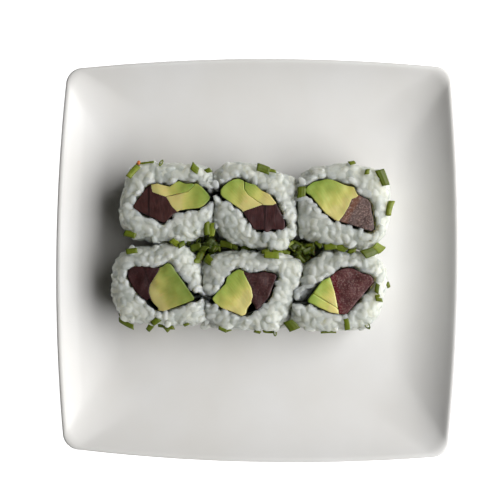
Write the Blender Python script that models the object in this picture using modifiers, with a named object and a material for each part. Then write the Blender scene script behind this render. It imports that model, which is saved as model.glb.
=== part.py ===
"""Six cut uramaki pieces of rice, nori, tuna and avocado on a square porcelain dish.

Metres, +Z up. The origin is under the middle of the dish, on the surface that it stands on.
X runs to the right and Y away from the eater. Outlines are in millimetres, as an eye above the dish
sees them against the cut faces.
"""

import math
import random

import bmesh
import bpy
from mathutils import Matrix, Vector
from mathutils.bvhtree import BVHTree

MM = 0.001
GAP = 0.3 * MM  # clearance between pieces that touch

# Dish: a square with bowed sides whose wall sweeps up in one arc
DISH_HALF = 102 * MM
DISH_BOW = 5 * MM
DISH_RIM_Z = 16 * MM
FLOOR_Z = 7 * MM
WALL_RADIUS = 52 * MM
WALL_STEPS = 4
SHELL = 4.2 * MM
RIM_CORNER = 0.07  # corner radius as a share of the half size
FLOOR_CORNER = 0.30
FOOT_HALF = 62 * MM
FOOT_WIDTH = 5 * MM
SIDE_CUTS = 6
CORNER_CUTS = 4

# Uramaki: one length of roll cut into pieces that stand on a cut face
PIECE_HEIGHT = 25 * MM
NORI = 0.6 * MM
FILLING_DROP = 0.5 * MM  # how far the fillings end below the rice
EYE = Vector((17.5, 3.2, 405)) * MM
CUT_FACE_Z = 32 * MM
BELLY_Z = 21 * MM  # where a piece is widest: the eye sees its outline there, lower than the cut face
OUTLINE_STEPS = 2
STRAIGHT = math.radians(12)  # a point of an outline that turns less is left out

# Rice: squares of half a grain joined two by two, each raised to a point
GRAIN_WIDTH = 4.1 * MM
GRAIN_RISE = 1.1 * MM
GRAIN_JITTER = 0.35 * MM
MAX_FOLD = math.radians(50)
BARREL = ((0.0, 2.6), (0.1, 1.0), (0.35, 0.0), (0.6, 0.1), (0.85, 0.8), (1.0, 2.6))

# Chives: short cuts of a flattened stalk
CHIVE_WIDTH = 3.2 * MM
CHIVE_THICK = 1.5 * MM
CHIVE_SIDES = 6
CHIVE_SINK = 0.35  # share of its thickness that lies in the rice

# Each piece: rice outside, wrap the inside of the nori, seam where its ends leave through the rice,
# cuts between the fillings, hollows left between them, and a point in each filling
ROLLS = {
    "back_left": {
        "height": 1.0,
        "rice": [(-66.3, 20), (-65.6, 29), (-63.2, 38), (-58.5, 45.5), (-48, 48), (-36, 47.8), (-26, 47), (-20.4, 43),
                 (-19.4, 32), (-19.7, 22), (-22.5, 13.5), (-29, 9.3), (-40, 8.7), (-52, 9.5), (-61, 12.5)],
        "wrap": [(-59.5, 26), (-56, 30.5), (-53, 35), (-48, 37.3), (-41.5, 35.8), (-37, 38.7), (-33.5, 37.2),
                 (-28, 37.4), (-24, 34), (-21.3, 30.6), (-23.2, 27.5), (-27, 25.2), (-36.5, 24), (-41, 20.5),
                 (-44.3, 17.8), (-50, 20.3), (-56, 22.8)],
        "seam": [(-22.8, 30.7), (-20.2, 30.7)],
        "cuts": [[(-51, 39), (-49.8, 33), (-43, 30.6), (-39.8, 25.6), (-36, 22)],
                 [(-43.5, 30.7), (-37, 32.2), (-32.5, 33.2), (-29.5, 36), (-28.5, 41)]],
        "fillings": {"tuna_back_left": (-50, 26), "avocado_back_left_upper": (-37, 35),
                     "avocado_back_left_lower": (-32, 29)},
    },
    "back_middle": {
        "height": 0.985,
        "rice": [(-18.4, 30), (-18.5, 40), (-15.8, 46.5), (-8, 48.3), (1, 47), (9, 44), (15.5, 42.3), (19.6, 37.5),
                 (20.3, 28), (20.3, 18), (19, 10), (14.5, 5.6), (6, 5.6), (-4, 7.2), (-12, 8.8), (-17.2, 12.5),
                 (-18.6, 20)],
        "wrap": [(-16.6, 34), (-13, 38), (-7.5, 40), (-2.5, 37.6), (0.5, 37), (3.5, 34.2), (7.5, 32.3), (10.5, 28.5),
                 (12.5, 23.5), (15, 19.3), (14.6, 14.8), (8.5, 15), (6.3, 13), (4.5, 14.8), (0, 15), (-3, 20),
                 (-6, 24.2), (-10.5, 27.5), (-15.5, 30.7)],
        "seam": [(-15.6, 34), (-18.4, 34)],
        "cuts": [[(-8, 22.5), (-3, 24.6), (4, 27), (9, 26.8), (13, 29)],
                 [(4.5, 26.9), (0.8, 29.2), (-3, 31.8), (-4.8, 34.5), (-5, 42)]],
        "fillings": {"tuna_back_middle": (5, 20), "avocado_back_middle_left": (-8, 32),
                     "avocado_back_middle_right": (2, 32)},
    },
    "back_right": {
        "height": 1.01,
        "rice": [(21, 30), (21.3, 39), (25.5, 45), (34, 47), (44, 47.6), (54, 46.3), (61.5, 43), (65.3, 36), (66, 26),
                 (64.5, 16), (60.5, 9.3), (53, 7), (44, 8), (34, 8.6), (26.5, 8.6), (22.3, 13), (21, 21)],
        "wrap": [(24.3, 34), (28.5, 38.2), (35, 39.7), (39.5, 39), (43.5, 37), (48.3, 35.8), (50, 32), (54.8, 30),
                 (57, 25.5), (57.6, 20), (58.3, 16), (56, 14.6), (50, 15.4), (45.5, 17), (39, 19.8), (34.5, 23),
                 (31, 27.5), (27.5, 31.2)],
        "seam": [(25.5, 34), (21.4, 34)],
        "cuts": [[(53, 33.5), (49.5, 30.9), (47.2, 30), (45.8, 26.5), (43.5, 22.3), (39, 17)]],
        "fillings": {"tuna_back_right": (51, 22), "avocado_back_right": (37, 31)},
    },
    "front_left": {
        "height": 1.015,
        "rice": [(-69.3, -12), (-68.6, -3), (-64.5, 3.5), (-56, 6.7), (-45, 7.2), (-34, 6.8), (-28, 3), (-25.4, -5),
                 (-25.2, -14), (-24, -20), (-22.8, -27), (-25, -32.3), (-35, -33), (-48, -32), (-60, -30.5),
                 (-66, -25.5), (-68.6, -19)],
        "wrap": [(-61.8, -7.5), (-60, -4), (-54, -3.2), (-46, -4), (-43.5, -2.2), (-41, -1.8), (-38, -4.8),
                 (-35.5, -9.5), (-31.5, -14.8), (-28.5, -18.6), (-31, -21), (-38.5, -23.7), (-43.5, -25.3),
                 (-48, -24.3), (-53, -19.8), (-58, -15.5), (-60.5, -11.5)],
        "seam": [(-29.8, -18.5), (-25.2, -17.5)],
        "cuts": [[(-44, 0), (-46.8, -6.5), (-50.6, -12.5), (-51, -16), (-49.5, -20), (-45.5, -27)]],
        "hollows": [[(-51, -18.6), (-49.4, -20.3), (-46, -24), (-48.5, -26), (-53, -20.5)]],
        "fillings": {"tuna_front_left": (-56, -9), "avocado_front_left": (-42, -14)},
    },
    "front_middle": {
        "height": 0.99,
        "rice": [(-24.4, -8), (-23.4, -1), (-19.5, 4.3), (-11, 5.2), (-2, 4.5), (7, 2.8), (15, 3), (21.5, 2),
                 (23.4, -4), (21.8, -12), (17.4, -20), (16.4, -28), (12.6, -33.3), (4, -34.3), (-6, -34), (-16, -33.3),
                 (-21.5, -31), (-22.2, -25), (-23.4, -17)],
        "wrap": [(-20.3, -19), (-17, -15.3), (-14, -11.5), (-13, -8), (-9.5, -5.2), (-6.8, -4.3), (-3.5, -6),
                 (0.5, -6.3), (5, -5.4), (10.8, -6.6), (11, -9.3), (9, -13.5), (7.5, -18), (3.5, -23.2),
                 (-1.5, -25.2), (-5.5, -27.2), (-10, -25.8), (-16, -23.2)],
        "seam": [(-18.5, -19.2), (-23.2, -17.6)],
        "cuts": [[(-6.5, -2), (-4.4, -6.8), (-1, -13.5), (-0.2, -17.5), (-1.2, -20.5), (-1.5, -28)]],
        "hollows": [[(-0.7, -19.8), (0.8, -21.8), (2, -25.5), (-4, -28), (-3.2, -23.6)]],
        "fillings": {"tuna_front_middle": (5, -13), "avocado_front_middle": (-10, -17)},
    },
    "front_right": {
        "height": 0.98,
        "rice": [(24.4, -5), (26, 0.5), (31.5, 4), (40, 4.9), (50, 4.6), (59, 2.3), (64, -3), (65, -10), (62.7, -19),
                 (59.5, -27), (53, -32.8), (42, -34.2), (30, -33.7), (22, -32.3), (18.7, -27), (19.4, -20.5),
                 (22.8, -13)],
        "wrap": [(26.4, -20), (27, -17.8), (30.3, -14), (33, -9.6), (37, -7.8), (39.5, -5.2), (43, -3.6),
                 (48, -3.3), (53, -6), (56.3, -6.6), (58.3, -10), (55, -15.3), (50, -20.6), (45.5, -25.3),
                 (42.5, -26), (37, -25), (31, -22.3)],
        "seam": [(28, -20.5), (19.8, -20.7)],
        "notch": [(20, -13), (29.5, -10.5), (31.5, -12.5), (27.5, -18), (26, -20), (18, -20)],
        "cuts": [[(36, -5), (37.6, -9.5), (39.4, -15), (40.5, -20.5), (42, -28)],
                 [(27, -14.5), (42, -23.7)]],
        "fillings": {"tuna_front_right": (48, -13), "avocado_front_right_upper": (36, -15),
                     "avocado_front_right_lower": (33, -21)},
    },
}

# Chives on the outside of the pieces: place, heading in degrees and length
CHIVES = {
    "back_left": [(-53, 47.5, 8, 7), (-60.5, 42, 55, 6), (-29, 44.5, -40, 5), (-61, 12.5, -15, 5)],
    "back_middle": [(-14, 46.5, 20, 4), (5, 44.5, -15, 6), (17, 40.5, -60, 4)],
    "back_right": [(46.5, 46.5, 15, 4), (54, 43, 80, 4), (61, 40.5, -62, 7), (64.8, 26, 70, 6)],
    "front_left": [(-62.5, -29.5, -20, 7), (-49, -30.5, 50, 6), (-43, -31.5, 5, 6), (-60, 4, 5, 5)],
    "front_middle": [(-14, -32.5, -20, 5), (2, -33, -10, 4), (9, -33.2, 3, 6)],
    "front_right": [(22.5, -30.5, -45, 5), (36, -32.7, -2, 7), (44.5, -30.5, -78, 6), (54.5, -29.5, 40, 4),
                    (60, -13, 85, 5), (60, -18, -20, 4), (57, 2, 15, 6)],
}

COLOURS = {
    "porcelain": ((0.80, 0.80, 0.78), 0.12),
    "rice": ((0.80, 0.81, 0.77), 0.45),
    "nori": ((0.012, 0.018, 0.014), 0.5),
    "tuna": ((0.10, 0.030, 0.035), 0.35),
    "avocado": ((0.45, 0.50, 0.13), 0.4),
}


def clear_scene():
    for thing in list(bpy.data.objects):
        bpy.data.objects.remove(thing)


def make_material(name):
    colour, roughness = COLOURS[name]
    material = bpy.data.materials.new(name)
    material.use_nodes = True
    shader = material.node_tree.nodes["Principled BSDF"]
    shader.inputs["Base Color"].default_value = (*colour, 1)
    shader.inputs["Roughness"].default_value = roughness
    return material


def make_collection(name):
    collection = bpy.data.collections.new(name)
    bpy.context.scene.collection.children.link(collection)
    return collection


def add_mesh(name, mesh, collection, material=None):
    thing = bpy.data.objects.new(name, mesh)
    collection.objects.link(thing)
    if material:
        mesh.materials.clear()
        mesh.materials.append(material)
    return thing


def mesh_of(bm, name):
    bmesh.ops.recalc_face_normals(bm, faces=bm.faces)
    mesh = bpy.data.meshes.new(name)
    bm.to_mesh(mesh)
    bm.free()
    return mesh


def applied(thing):
    """The object's mesh with its modifiers, in place of the old one."""
    graph = bpy.context.evaluated_depsgraph_get()
    mesh = bpy.data.meshes.new_from_object(thing.evaluated_get(graph))
    thing.modifiers.clear()
    thing.data = mesh
    return mesh


def boolean(thing, operation, other):
    """Cuts or joins an object or every object of a collection, then removes them."""
    modifier = thing.modifiers.new(operation, "BOOLEAN")
    modifier.operation = operation
    modifier.solver = "EXACT"
    if isinstance(other, bpy.types.Collection):
        modifier.operand_type = "COLLECTION"
        modifier.collection = other
        used = list(other.objects)
    else:
        modifier.object = other
        used = [other]
    applied(thing)
    for spent in used:
        bpy.data.objects.remove(spent)


# Outlines

def smooth_closed(points, steps=OUTLINE_STEPS):
    """A closed Catmull-Rom curve through the points, in metres and counter-clockwise."""
    knots = [Vector(p) * MM for p in points]
    count = len(knots)
    curve = []
    for i in range(count):
        a, b, c, d = (knots[(i + k - 1) % count] for k in range(4))
        for step in range(steps):
            t = step / steps
            curve.append(0.5 * (2 * b + (c - a) * t + (2 * a - 5 * b + 4 * c - d) * t ** 2
                                + (3 * b - a - 3 * c + d) * t ** 3))
    kept = []
    for i, point in enumerate(curve):
        before = point - (kept[-1] if kept else curve[-1])
        if abs(before.angle_signed(curve[(i + 1) % len(curve)] - point)) > STRAIGHT:
            kept.append(point)
    doubled_area = sum(kept[i - 1].cross(kept[i]) for i in range(len(kept)))
    return kept if doubled_area > 0 else kept[::-1]


def at_belly(outline):
    """The outline carried along the eye's lines of sight from the cut faces down to the belly."""
    reach = (EYE.z - BELLY_Z) / (EYE.z - CUT_FACE_Z)
    return [EYE.xy + (point - EYE.xy) * reach for point in outline]


def grown(outline, distance):
    """The outline moved outwards, or inwards where distance is negative."""
    moved = []
    for i, point in enumerate(outline):
        before = (point - outline[i - 1]).normalized()
        after = (outline[(i + 1) % len(outline)] - point).normalized()
        along = (before + after).normalized()
        outwards = Vector((along.y, -along.x))
        stretch = 1 / max(0.6, before.dot(along))
        moved.append(point + outwards * distance * stretch)
    return moved


def strip(points, width):
    """A thin band along a line of points, as a closed outline."""
    line = [Vector(p) * MM for p in points]
    left, right = [], []
    for i, point in enumerate(line):
        ahead = line[min(i + 1, len(line) - 1)] - line[max(i - 1, 0)]
        side = Vector((-ahead.y, ahead.x)).normalized() * width / 2
        left.append(point + side)
        right.append(point - side)
    return right + left[::-1]


def prism(name, outline, low, high, collection):
    """A flat outline stood up between two heights."""
    curve = bpy.data.curves.new(name, "CURVE")
    curve.dimensions = "2D"
    curve.fill_mode = "BOTH"
    curve.extrude = (high - low) / 2
    spline = curve.splines.new("POLY")
    spline.points.add(len(outline) - 1)
    for slot, point in zip(spline.points, outline):
        slot.co = (*point, 0, 1)
    spline.use_cyclic_u = True
    drawn = bpy.data.objects.new(name, curve)
    collection.objects.link(drawn)
    drawn.location.z = (low + high) / 2
    bpy.context.view_layer.update()
    graph = bpy.context.evaluated_depsgraph_get()
    bm = bmesh.new()
    bm.from_mesh(bpy.data.meshes.new_from_object(drawn.evaluated_get(graph)))
    bmesh.ops.remove_doubles(bm, verts=bm.verts, dist=GAP / 20)
    bmesh.ops.translate(bm, verts=bm.verts, vec=drawn.location)
    bpy.data.objects.remove(drawn)
    return add_mesh(name, mesh_of(bm, name), collection)


# Dish

def dish_loop(bm, half, corner, height):
    """One closed loop of the dish: a rounded square with bowed sides."""
    bow = DISH_BOW * (half / DISH_HALF) ** 2
    corner_turn = math.pi / 2
    loop = []
    for quarter in range(4):
        spin = Matrix.Rotation(quarter * corner_turn, 2)
        side = [(1.0, -1 + corner + 2 * (1 - corner) * k / SIDE_CUTS) for k in range(SIDE_CUTS)]
        bend = [(1 - corner + corner * math.cos(a), 1 - corner + corner * math.sin(a))
                for a in (corner_turn * k / CORNER_CUTS for k in range(CORNER_CUTS))]
        for u, v in (spin @ Vector(p) for p in side + bend):
            loop.append(bm.verts.new((u * (half - bow * v * v), v * (half - bow * u * u), height)))
    return [bm.edges.new((loop[i - 1], loop[i])) for i in range(len(loop))]


def dish_profile():
    """Half size, corner share and height of each loop, from the floor over the rim to the foot."""
    rise = DISH_RIM_Z - FLOOR_Z
    sweep = math.acos(1 - rise / WALL_RADIUS)
    lip = SHELL / 2
    floor_half = DISH_HALF - (WALL_RADIUS + SHELL) * math.sin(sweep)

    def corner(half):
        share = (half - floor_half) / (DISH_HALF - floor_half)
        return FLOOR_CORNER + (RIM_CORNER - FLOOR_CORNER) * min(1, max(0, share))

    inside, outside = [], []
    for step in range(WALL_STEPS + 1):
        angle = sweep * step / WALL_STEPS
        half = floor_half + WALL_RADIUS * math.sin(angle)
        inside.append((half, corner(half), FLOOR_Z + WALL_RADIUS * (1 - math.cos(angle))))
        under = half + SHELL * math.sin(angle)
        outside.append((under, corner(half), inside[-1][2] - SHELL * math.cos(angle)))
    top_in, top_out = inside[-1], outside[-1]
    crown = ((top_in[0] + top_out[0]) / 2, RIM_CORNER, DISH_RIM_Z + lip * 0.35)
    edge = (DISH_HALF, RIM_CORNER, (top_in[2] + top_out[2]) / 2 + lip * 0.4)
    underside = outside[1][2] - MM
    foot = [(FOOT_HALF + FOOT_WIDTH / 2 + MM, FLOOR_CORNER, underside),
            (FOOT_HALF + FOOT_WIDTH / 2, FLOOR_CORNER, 0),
            (FOOT_HALF - FOOT_WIDTH / 2, FLOOR_CORNER, 0),
            (FOOT_HALF - FOOT_WIDTH / 2 - MM, FLOOR_CORNER, FLOOR_Z - SHELL)]
    return [*inside, crown, edge, *outside[:0:-1], *foot]


def make_dish(collection, material):
    bm = bmesh.new()
    loops = [dish_loop(bm, *section) for section in dish_profile()]
    for inner, outer in zip(loops, loops[1:]):
        bmesh.ops.bridge_loops(bm, edges=inner + outer)
    for cap in (loops[0], loops[-1]):
        bmesh.ops.contextual_create(bm, geom=cap)
    mesh = mesh_of(bm, "dish")
    mesh.shade_smooth()
    mesh.set_sharp_from_angle(angle=math.radians(40))
    return add_mesh("dish", mesh, collection, material)


# Rice

def rice_blank(name, outline, low, high, collection):
    """The piece's barrel: the outline drawn in towards both cut faces, in even squares."""
    bm = bmesh.new()
    loops = []
    for share, inset in BARREL:
        ring = grown(outline, -inset * MM - GRAIN_RISE / 2)
        height = low + (high - low) * share
        verts = [bm.verts.new((*point, height)) for point in ring]
        loops.append([bm.edges.new((verts[i - 1], verts[i])) for i in range(len(verts))])
    for lower, upper in zip(loops, loops[1:]):
        bmesh.ops.bridge_loops(bm, edges=lower + upper)
    for cap in (loops[0], loops[-1]):
        bmesh.ops.contextual_create(bm, geom=cap)
    blank = add_mesh(name, mesh_of(bm, name), collection)
    remesh = blank.modifiers.new("Squares", "REMESH")
    remesh.mode = "VOXEL"
    remesh.voxel_size = GRAIN_WIDTH
    applied(blank)
    return blank


def key_of(edge):
    middle = (edge.verts[0].co + edge.verts[1].co) / 2
    return tuple(round(value / MM, 2) for value in middle)


def raise_grains(blank, low, high, seed):
    """Joins the squares in pairs as long as a grain and raises the middle of each."""
    draw = random.Random(seed)
    bm = bmesh.new()
    bm.from_mesh(blank.data)
    edges = sorted(bm.edges, key=key_of)
    draw.shuffle(edges)
    taken, seams = set(), []
    for edge in edges:
        faces = edge.link_faces
        if any(face in taken for face in faces) or edge.calc_face_angle() > MAX_FOLD:
            continue
        taken.update(faces)
        seams.append(edge)
    bmesh.ops.dissolve_edges(bm, edges=seams, use_verts=False, use_face_split=False)
    for vert in sorted(bm.verts, key=lambda v: tuple(round(c / MM, 2) for c in v.co)):
        vert.co += Vector([draw.uniform(-1, 1) for _ in range(3)]) * GRAIN_JITTER
    bmesh.ops.poke(bm, faces=bm.faces, offset=GRAIN_RISE)
    for vert in bm.verts:
        vert.co.z = min(max(vert.co.z, low), high)
    base = [face for face in bm.faces if all(v.co.z < low + GAP / 10 for v in face.verts)]
    edges = [e for e in bm.edges if len(e.link_faces) == 2 and all(f in base for f in e.link_faces)]
    bmesh.ops.dissolve_limit(bm, angle_limit=math.radians(1), edges=edges,
                             verts=list({v for e in edges for v in e.verts}))
    bmesh.ops.triangulate(bm, faces=bm.faces)
    blank.data = mesh_of(bm, blank.name)


def chive(place, heading, length, surface, collection):
    """A flattened six-sided cut of stalk, pressed into the nearest rice."""
    start = Vector((*(Vector(place) * MM), DISH_RIM_Z * 3))
    spot, normal, _, _ = surface.ray_cast(start, Vector((0, 0, -1)))
    if spot is None:
        spot, normal, _, _ = surface.find_nearest(Vector((*start.xy, FLOOR_Z + PIECE_HEIGHT * 0.6)))
    normal = (normal + Vector((0, 0, 1))).normalized()
    along = Matrix.Rotation(math.radians(heading), 3, "Z") @ Vector((1, 0, 0))
    along = (along - normal * along.dot(normal)).normalized()
    turn = Matrix((along, normal.cross(along), normal)).transposed().to_4x4()
    size = Matrix.Diagonal((length * MM, CHIVE_WIDTH, CHIVE_THICK, 1))
    upright = Matrix.Rotation(math.pi / 2, 4, "Y")
    lift = Matrix.Translation(spot + normal * CHIVE_THICK * (0.5 - CHIVE_SINK))
    bm = bmesh.new()
    bmesh.ops.create_cone(bm, cap_ends=True, segments=CHIVE_SIDES, radius1=0.5, radius2=0.5, depth=1,
                          matrix=lift @ turn @ size @ upright)
    return add_mesh("chive", mesh_of(bm, "chive"), collection)


# Nori and fillings

def wrap_cutter(roll, growth, low, high, collection):
    """The space that the nori and what it holds take up, grown a little."""
    outline = grown(smooth_closed(roll["wrap"]), NORI + growth)
    cutter = prism("wrap_space", outline, low, high, collection)
    seam = prism("seam_space", strip(roll["seam"], 2 * (NORI + growth)), low, high, collection)
    boolean(cutter, "UNION", seam)
    return cutter


def make_rice(place, roll, low, high, collection, cutters, material):
    seed = sorted(ROLLS).index(place)
    rice = rice_blank("rice_" + place, at_belly(smooth_closed(roll["rice"])), low, high, collection)
    raise_grains(rice, low, high, seed)
    below, above = low - PIECE_HEIGHT, high + PIECE_HEIGHT
    space = wrap_cutter(roll, GAP, below, above, cutters)
    seam = [Vector(p) for p in roll["seam"]]
    mouth = [roll["seam"][0], seam[1] + (seam[1] - seam[0]).normalized() * 4]
    boolean(space, "UNION", prism("mouth", strip(mouth, 2 * (NORI + GAP)), below, above, cutters))
    if "notch" in roll:
        corners = [Vector(p) * MM for p in roll["notch"]]
        boolean(space, "UNION", prism("notch", corners, below, above, cutters))
    boolean(rice, "DIFFERENCE", space)
    bm = bmesh.new()
    bm.from_mesh(rice.data)
    surface = BVHTree.FromBMesh(bm)
    bm.free()
    pieces = make_collection("chives_" + place)
    for x, y, heading, length in CHIVES[place]:
        chive((x, y), heading, length, surface, pieces)
    boolean(rice, "UNION", pieces)
    bpy.data.collections.remove(pieces)
    rice.data.materials.clear()
    rice.data.materials.append(material)
    return rice


def make_nori(place, roll, low, high, collection, cutters, material):
    nori = wrap_cutter(roll, 0, low, high, collection)
    nori.name = "nori_" + place
    inner = prism("inside", smooth_closed(roll["wrap"]), low - NORI, high + NORI, cutters)
    boolean(nori, "DIFFERENCE", inner)
    nori.data.materials.clear()
    nori.data.materials.append(material)
    return nori


def joined_to(vert):
    """The indices of every vertex that edges join to this one."""
    island, front = {vert.index}, [vert]
    while front:
        for edge in front.pop().link_edges:
            for other in edge.verts:
                if other.index not in island:
                    island.add(other.index)
                    front.append(other)
    return island


def make_fillings(roll, low, high, collection, cutters, materials):
    """The inside of the wrap, parted along the cuts into its fillings."""
    whole = prism("fillings", grown(smooth_closed(roll["wrap"]), -GAP), low, high, collection)
    below, above = low - PIECE_HEIGHT, high + PIECE_HEIGHT
    for line in roll["cuts"]:
        boolean(whole, "DIFFERENCE", prism("cut", strip(line, GAP), below, above, cutters))
    for hollow in roll.get("hollows", []):
        boolean(whole, "DIFFERENCE", prism("hollow", [Vector(p) * MM for p in hollow], below, above, cutters))
    bm = bmesh.new()
    bm.from_mesh(whole.data)
    bpy.data.objects.remove(whole)
    bm.verts.ensure_lookup_table()
    left = set(range(len(bm.verts)))
    while left:
        island = joined_to(bm.verts[min(left)])
        left -= island
        part = bm.copy()
        bmesh.ops.delete(part, geom=[v for v in part.verts if v.index not in island], context="VERTS")
        middle = sum((v.co.xy for v in part.verts), Vector((0, 0))) / len(part.verts)
        name = min(roll["fillings"], key=lambda n: (Vector(roll["fillings"][n]) * MM - middle).length)
        add_mesh(name, mesh_of(part, name), collection, materials[name.split("_")[0]])
    bm.free()


def main():
    clear_scene()
    materials = {name: make_material(name) for name in COLOURS}
    collection = make_collection("uramaki")
    cutters = make_collection("cutters")
    make_dish(collection, materials["porcelain"])
    low = FLOOR_Z + GAP
    for place, roll in ROLLS.items():
        high = low + PIECE_HEIGHT * roll["height"]
        make_rice(place, roll, low, high, collection, cutters, materials["rice"])
        make_nori(place, roll, low, high - FILLING_DROP / 2, collection, cutters, materials["nori"])
        make_fillings(roll, low, high - FILLING_DROP, collection, cutters, materials)


main()
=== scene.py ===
import math
import random

import bmesh
import bpy
import numpy as np
from mathutils import Matrix, Vector, noise
from mathutils.bvhtree import BVHTree


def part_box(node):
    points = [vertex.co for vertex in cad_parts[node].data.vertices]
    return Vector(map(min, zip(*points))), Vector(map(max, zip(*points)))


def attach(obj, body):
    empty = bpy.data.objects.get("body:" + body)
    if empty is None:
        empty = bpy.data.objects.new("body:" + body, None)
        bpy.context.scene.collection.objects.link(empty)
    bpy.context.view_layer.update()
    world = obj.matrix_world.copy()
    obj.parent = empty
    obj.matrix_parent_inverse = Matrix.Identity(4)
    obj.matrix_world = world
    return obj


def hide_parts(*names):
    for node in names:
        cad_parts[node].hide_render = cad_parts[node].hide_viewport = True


mm = 0.001
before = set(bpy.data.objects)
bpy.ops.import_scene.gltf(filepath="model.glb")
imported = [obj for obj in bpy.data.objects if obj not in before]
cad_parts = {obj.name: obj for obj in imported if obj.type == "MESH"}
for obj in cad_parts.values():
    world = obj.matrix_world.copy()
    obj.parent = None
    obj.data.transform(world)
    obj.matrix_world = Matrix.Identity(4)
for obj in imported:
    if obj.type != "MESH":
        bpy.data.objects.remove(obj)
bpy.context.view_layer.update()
noise.seed_set(3)   # without a seed the noise vectors change with the clock
print("frame loaded:", len(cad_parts), "nodes")

places = ["back_left", "back_middle", "back_right", "front_left", "front_middle", "front_right"]


# Camera first: what lies on the rice is set down along its lines of sight
view = {
    "place": (17.5, 3.2, 405),   # mm, nearly straight above the dish
    "turn": (0.3, 2.95, 0.47),   # degrees
    "lens": 55.44,
    "readAt": 32,                # mm, height of the plane on which places were read
}


def makeCamera():
    data = bpy.data.cameras.new("camera")
    data.lens = view["lens"]
    data.sensor_width = 36
    data.clip_start = 0.01
    camera = bpy.data.objects.new("camera", data)
    camera.location = Vector(view["place"]) * mm
    camera.rotation_euler = [math.radians(a) for a in view["turn"]]
    bpy.context.scene.collection.objects.link(camera)
    bpy.context.scene.camera = camera


# Small tools for meshes

def meshFrom(bm, name):
    mesh = bpy.data.meshes.new(name)
    bm.to_mesh(mesh)
    bm.free()
    return mesh


def addPiece(name, mesh, material, replaced=()):
    mesh.materials.clear()
    mesh.materials.append(material)
    mesh.shade_smooth()
    piece = bpy.data.objects.new(name, mesh)
    bpy.context.scene.collection.objects.link(piece)
    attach(piece, "root")
    if replaced:
        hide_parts(*replaced)
    return piece


# A CAD node's solid with its loose triangles welded and its flat faces whole again
def weldedCopy(node):
    bm = bmesh.new()
    bm.from_mesh(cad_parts[node].data)
    bmesh.ops.remove_doubles(bm, verts=bm.verts, dist=0.002 * mm)
    bmesh.ops.dissolve_limit(bm, angle_limit=math.radians(1), verts=bm.verts, edges=bm.edges)
    return bm


# Runs modifiers on a mesh and gives back the result
def shaped(mesh, steps):
    thing = bpy.data.objects.new("working", mesh)
    bpy.context.scene.collection.objects.link(thing)
    for kind, settings in steps:
        modifier = thing.modifiers.new(kind.lower(), kind)
        for key, value in settings.items():
            setattr(modifier, key, value)
    graph = bpy.context.evaluated_depsgraph_get()
    result = bpy.data.meshes.new_from_object(thing.evaluated_get(graph))
    bpy.data.objects.remove(thing)
    return result


def surfaceOf(mesh):
    bm = bmesh.new()
    bm.from_mesh(mesh)
    tree = BVHTree.FromBMesh(bm)
    bm.free()
    return tree


# Surfaces of the slices of tuna and avocado at a place, from their solids
def sliceSurfaces(place):
    return [surfaceOf(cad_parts[n].data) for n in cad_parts
            if place in n and n.startswith(("tuna", "avocado"))]


# Points and faces of a bmesh, which is freed
def arraysOf(bm):
    points = np.array([v.co[:] for v in bm.verts])
    faces = [[v.index for v in f.verts] for f in bm.faces]
    bm.free()
    return points, faces


# Small tools for materials

def linear(code):
    values = [int(code[i:i + 2], 16) / 255 for i in (1, 3, 5)]
    return (*[v / 12.92 if v <= 0.04045 else ((v + 0.055) / 1.055) ** 2.4 for v in values], 1)


def addNode(material, kind, links=None, settings=None, **values):
    tree = material.node_tree
    node = tree.nodes.new(kind)
    for key, value in (settings or {}).items():
        setattr(node, key, value)
    for key, value in values.items():
        node.inputs[key.replace("_", " ")].default_value = value
    for key, source in (links or {}).items():
        tree.links.new(source, node.inputs[key])
    return node


def newMaterial(name, **values):
    material = bpy.data.materials.new(name)
    material.use_nodes = True
    shader = material.node_tree.nodes["Principled BSDF"]
    for key, value in values.items():
        shader.inputs[key.replace("_", " ")].default_value = value
    return material, shader


def link(material, source, target):
    material.node_tree.links.new(source, target)


# A sum, product or the like of sockets and plain numbers
def maths(material, operation, *terms):
    node = addNode(material, "ShaderNodeMath", settings={"operation": operation})
    for socket, term in zip(node.inputs, terms):
        if isinstance(term, float):
            socket.default_value = term
        else:
            link(material, term, socket)
    return node.outputs[0]


def ramp(material, source, stops):
    node = addNode(material, "ShaderNodeValToRGB", {"Fac": source})
    elements = node.color_ramp.elements
    while len(elements) < len(stops):
        elements.new(0.5)
    for element, (place, code) in zip(elements, stops):
        element.position = place
        element.color = linear(code)
    return node.outputs["Color"]


def noiseOf(material, where, grain, detail=3, roughness=0.5):
    node = addNode(material, "ShaderNodeTexNoise", {"Vector": where}, Scale=1 / (grain * mm),
                   Detail=detail, Roughness=roughness)
    return node.outputs["Fac"]


def objectPlace(material):
    return addNode(material, "ShaderNodeTexCoord").outputs["Object"]


def bumpTo(material, shader, height, depth, strength=1.0):
    node = addNode(material, "ShaderNodeBump", {"Height": height}, Strength=strength, Distance=depth * mm)
    link(material, node.outputs["Normal"], shader.inputs["Normal"])


# Dish

dishLook = {
    "half": 102, "bow": 5,       # mm to the middle of a side, and how far the corners fall short of it
    "rimZ": 16, "floorZ": 7,     # mm, heights of the rim and the floor
    "wallRadius": 52,            # mm, curve of the wall
    "shell": 4.2,                # mm thick
    "rimCorner": 0.07, "floorCorner": 0.30,   # radius of a corner as a share of half the side
    "foot": 62, "footWidth": 5,  # mm to the middle of the foot ring, and its width
    "wallSteps": 22, "lipSteps": 8, "sideCuts": 28, "cornerCuts": 12,
}


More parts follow.
